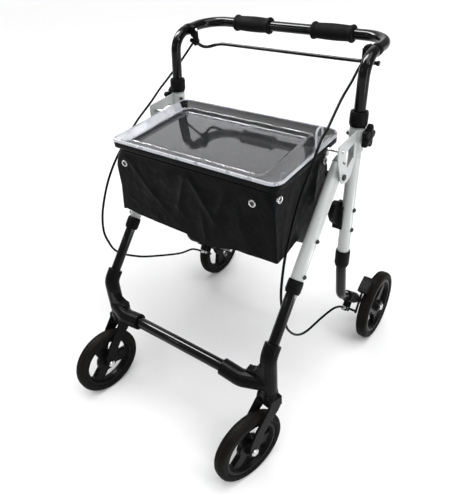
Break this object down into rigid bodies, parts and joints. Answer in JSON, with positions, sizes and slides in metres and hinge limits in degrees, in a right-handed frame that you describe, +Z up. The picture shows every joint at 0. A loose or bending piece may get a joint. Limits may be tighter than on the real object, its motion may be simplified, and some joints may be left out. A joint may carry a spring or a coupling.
{
  "type": "folding rollator",
  "caption": "Folding rollator with swivel casters, foam grips over a squeeze brake bar, rear shoe brakes, a hanging fabric bag and a clear lift-off tray.",
  "frame": {"origin": "on the floor, under the centre of the bounding box", "axes": "+Z up, +Y from the casters towards the user, +X to the right as seen from the front of the casters looking at the user"},
  "size_m": [0.545, 0.6938, 0.7941],
  "materials": {
    "white_paint": "glossy white powder coat",
    "black_paint": "glossy black paint",
    "black_plastic": "satin black moulded plastic",
    "gloss_plastic": "glossy black moulded plastic",
    "tyre_rubber": "solid black rubber",
    "grip_foam": "black foam rubber",
    "steel": "bright plated steel",
    "dark_steel": "blackened steel",
    "cable_skin": "black plastic cable housing",
    "bag_fabric": "black coated woven nylon",
    "clear_acrylic": "clear smoky acrylic"
  },
  "bodies": {
    "rear_frame": {"upright_left": "white_paint", "upright_right": "white_paint", "height_collar_left": "black_plastic", "height_collar_right": "black_plastic", "rear_collar_left": "black_plastic", "rear_collar_right": "black_plastic", "rear_tube_left": "black_paint", "rear_tube_right": "black_paint", "rear_axle_left": "steel", "rear_axle_right": "steel", "rear_crossbar": "black_paint", "crossbar_clamp_left": "black_plastic", "crossbar_clamp_right": "black_plastic", "fold_bracket_left": "white_paint", "fold_bracket_right": "white_paint", "fold_pivot_left": "dark_steel", "fold_pivot_right": "dark_steel", "brake_bracket_left": "black_plastic", "brake_bracket_right": "black_plastic", "cable_adjuster_left": "steel", "cable_adjuster_right": "steel", "brake_cable_left": "cable_skin", "brake_cable_right": "cable_skin"},
    "front_frame": {"front_leg_left": "white_paint", "front_leg_right": "white_paint", "front_collar_left": "black_plastic", "front_collar_right": "black_plastic", "front_tube_left": "black_paint", "front_tube_right": "black_paint", "corner_casting_left": "gloss_plastic", "corner_casting_right": "gloss_plastic", "front_crossbar": "black_paint"},
    "handle": {"handle_tube": "black_paint", "grip_left": "grip_foam", "grip_right": "grip_foam", "brake_pivot_left": "black_plastic", "brake_pivot_right": "black_plastic"},
    "brake_bar": {"brake_bar": "black_paint"},
    "bag": {"bag": "bag_fabric", "bag_frame": "dark_steel", "hanger_pin_left": "steel", "hanger_pin_right": "steel"},
    "tray": {"tray": "clear_acrylic"},
    "knob_left": {"height_knob_left": "black_plastic"},
    "knob_right": {"height_knob_right": "black_plastic"},
    "brake_shoe_left": {"brake_shoe_left": "black_plastic"},
    "brake_shoe_right": {"brake_shoe_right": "black_plastic"},
    "caster_left": {"caster_fork_left": "gloss_plastic", "front_axle_left": "steel"},
    "caster_right": {"caster_fork_right": "gloss_plastic", "front_axle_right": "steel"},
    "front_wheel_left": {"front_wheel_left": "gloss_plastic", "front_tyre_left": "tyre_rubber"},
    "front_wheel_right": {"front_wheel_right": "gloss_plastic", "front_tyre_right": "tyre_rubber"},
    "rear_wheel_left": {"rear_wheel_left": "gloss_plastic", "rear_tyre_left": "tyre_rubber"},
    "rear_wheel_right": {"rear_wheel_right": "gloss_plastic", "rear_tyre_right": "tyre_rubber"}
  },
  "joints": [
    {"name": "fold", "type": "hinge", "parent": "rear_frame", "child": "front_frame", "pos_m": [0, 0.05034, 0.573], "axis": [1, 0, 0], "range_deg": [0, 25]},
    {"name": "handle_height", "type": "slide", "parent": "rear_frame", "child": "handle", "axis": [0, 0.102, 0.9948], "range_m": [0, 0.1], "deforming": ["brake_cable_left", "brake_cable_right"]},
    {"name": "brake_bar_squeeze", "type": "hinge", "parent": "handle", "child": "brake_bar", "pos_m": [0, 0.17991, 0.7515], "axis": [1, 0, 0], "range_deg": [0, 15], "stiffness_Nm_per_rad": 0.4, "springref_deg": -11.46},
    {"name": "brake_shoe_left_turn", "type": "hinge", "parent": "rear_frame", "child": "brake_shoe_left", "pos_m": [-0.238, 0.18258, 0.15839], "axis": [1, 0, 0], "range_deg": [-3, 0]},
    {"name": "brake_shoe_right_turn", "type": "hinge", "parent": "rear_frame", "child": "brake_shoe_right", "pos_m": [0.238, 0.18258, 0.15839], "axis": [1, 0, 0], "range_deg": [-3, 0]},
    {"name": "knob_left_turn", "type": "hinge", "parent": "rear_frame", "child": "knob_left", "pos_m": [-0.247, 0.11919, 0.632], "axis": [1, 0, 0], "continuous": true},
    {"name": "knob_right_turn", "type": "hinge", "parent": "rear_frame", "child": "knob_right", "pos_m": [0.247, 0.11919, 0.632], "axis": [1, 0, 0], "continuous": true},
    {"name": "caster_left_swivel", "type": "hinge", "parent": "front_frame", "child": "caster_left", "pos_m": [-0.2135, -0.20109, 0.2], "axis": [0, 0, 1], "continuous": true},
    {"name": "caster_right_swivel", "type": "hinge", "parent": "front_frame", "child": "caster_right", "pos_m": [0.2135, -0.20109, 0.2], "axis": [0, 0, 1], "continuous": true},
    {"name": "front_wheel_left_spin", "type": "hinge", "parent": "caster_left", "child": "front_wheel_left", "pos_m": [-0.22335, -0.26331, 0.084], "axis": [0.9877, -0.1564, 0], "continuous": true},
    {"name": "front_wheel_right_spin", "type": "hinge", "parent": "caster_right", "child": "front_wheel_right", "pos_m": [0.19666, -0.2618, 0.084], "axis": [0.9636, -0.2672, 0], "continuous": true},
    {"name": "rear_wheel_left_spin", "type": "hinge", "parent": "rear_frame", "child": "rear_wheel_left", "pos_m": [-0.251, 0.25691, 0.09], "axis": [1, 0, 0], "continuous": true},
    {"name": "rear_wheel_right_spin", "type": "hinge", "parent": "rear_frame", "child": "rear_wheel_right", "pos_m": [0.251, 0.25691, 0.09], "axis": [1, 0, 0], "continuous": true},
    {"name": "bag_tilt", "type": "hinge", "parent": "rear_frame", "child": "bag", "pos_m": [0, 0.04091, 0.631], "axis": [-1, 0, 0], "range_deg": [0, 75]},
    {"name": "tray_lift", "type": "slide", "parent": "bag", "child": "tray", "axis": [0, 0, 1], "range_m": [0, 0.15]}
  ],
  "couplings": [
    {"joint": "brake_shoe_left_turn", "follows": "brake_bar_squeeze", "ratio": -0.2},
    {"joint": "brake_shoe_right_turn", "follows": "brake_bar_squeeze", "ratio": -0.2}
  ]
}
